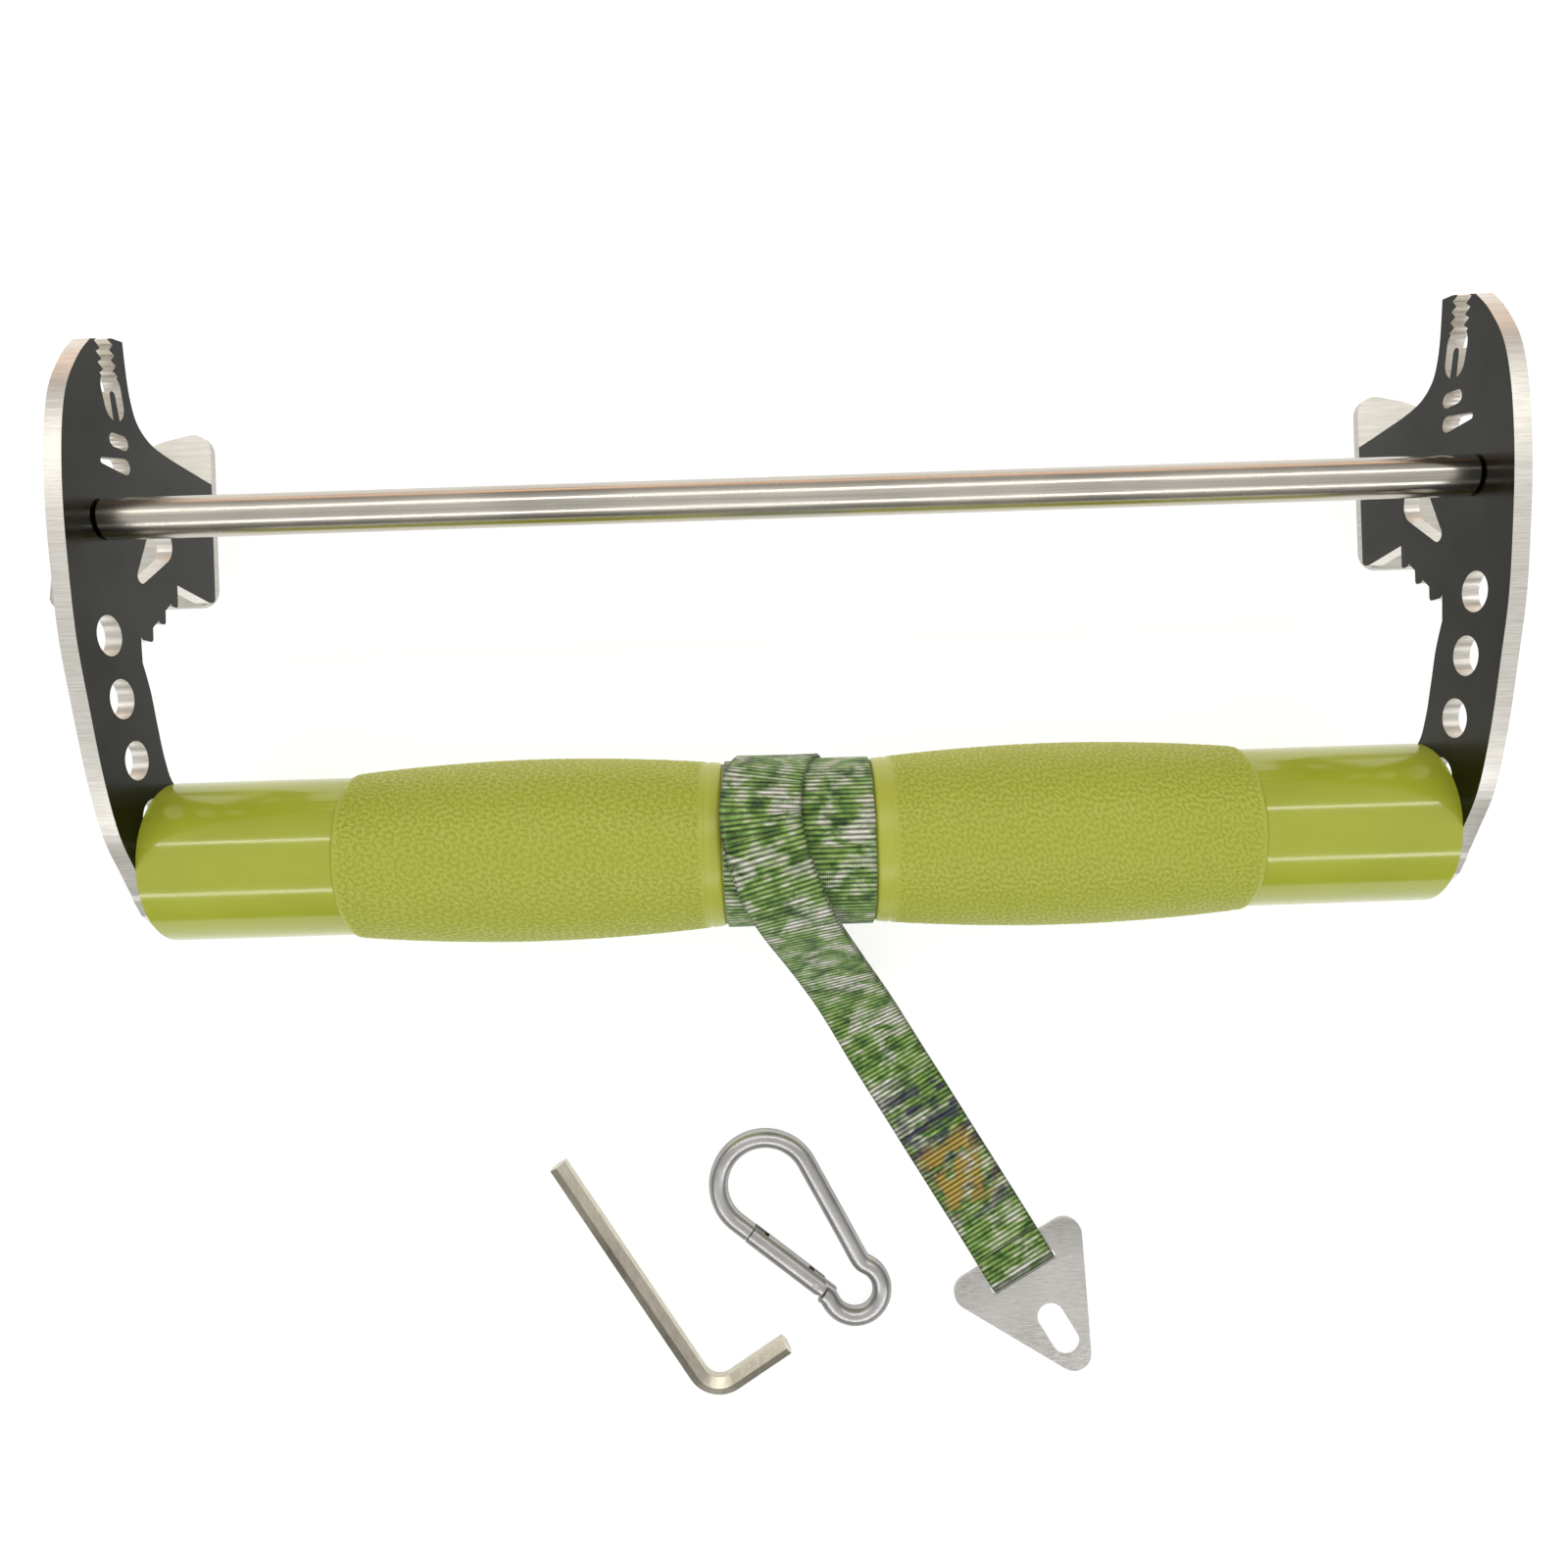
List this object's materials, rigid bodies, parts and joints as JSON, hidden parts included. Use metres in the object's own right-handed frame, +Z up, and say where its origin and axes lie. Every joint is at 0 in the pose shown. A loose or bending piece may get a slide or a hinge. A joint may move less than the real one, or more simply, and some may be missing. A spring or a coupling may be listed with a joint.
{
  "type": "portable pull-up bar",
  "caption": "Portable pull-up bar: two cut-out steel side plates joined by a rod and a gripped tube, with wall pads, strap, snap hook and hex key.",
  "frame": {"origin": "on the surface it lies on, under the middle of the whole layout without the free strap", "axes": "+X along the bars to the right, +Y from the gripped tube to the rod, +Z up from the surface"},
  "size_m": [0.5156, 0.351, 0.0831],
  "materials": {
    "plate_steel": "satin mirror faces, brushed cut edges",
    "rod_steel": "satin",
    "tube_paint": "gloss yellow-green",
    "grip_rubber": "matt, pebble grained",
    "fastener_steel": "satin",
    "webbing": "ribbed webbing with a blotched print",
    "tab_steel": "brushed",
    "hook_steel": "polished",
    "key_zinc": "pale yellowish zinc plate"
  },
  "bodies": {
    "frame": {"side_plate_left": "plate_steel", "side_plate_right": "plate_steel", "wall_pad_left": "plate_steel", "wall_pad_right": "plate_steel", "spreader_rod": "rod_steel", "cross_tube": "tube_paint", "tube_plug_left": "fastener_steel", "tube_plug_right": "fastener_steel", "tube_washers": "fastener_steel", "tube_bolts": "fastener_steel", "rod_washers": "fastener_steel", "rod_bolts": "fastener_steel", "grip_left": "grip_rubber", "grip_right": "grip_rubber", "strap_wrap": "webbing", "strap_tail": "webbing", "strap_fold": "webbing", "strap_tab": "tab_steel"},
    "carabiner": {"hook_wire": "hook_steel", "hook_gate_pin": "hook_steel"},
    "gate": {"hook_gate": "hook_steel", "hook_gate_spring": "hook_steel"},
    "hex_key": {"hex_key": "key_zinc"}
  },
  "joints": [
    {"name": "hook_lift", "type": "slide", "parent": "frame", "child": "carabiner", "axis": [0, 0, 1], "range_m": [0, 0.05]},
    {"name": "gate_hinge", "type": "hinge", "parent": "carabiner", "child": "gate", "pos_m": [0.00143, -0.13833, 0.0035], "axis": [0, 0, 1], "range_deg": [-38, 0], "stiffness_Nm_per_rad": 0.05, "springref_deg": 20.05},
    {"name": "key_lift", "type": "slide", "parent": "frame", "child": "hex_key", "axis": [0, 0, 1], "range_m": [0, 0.05]}
  ]
}
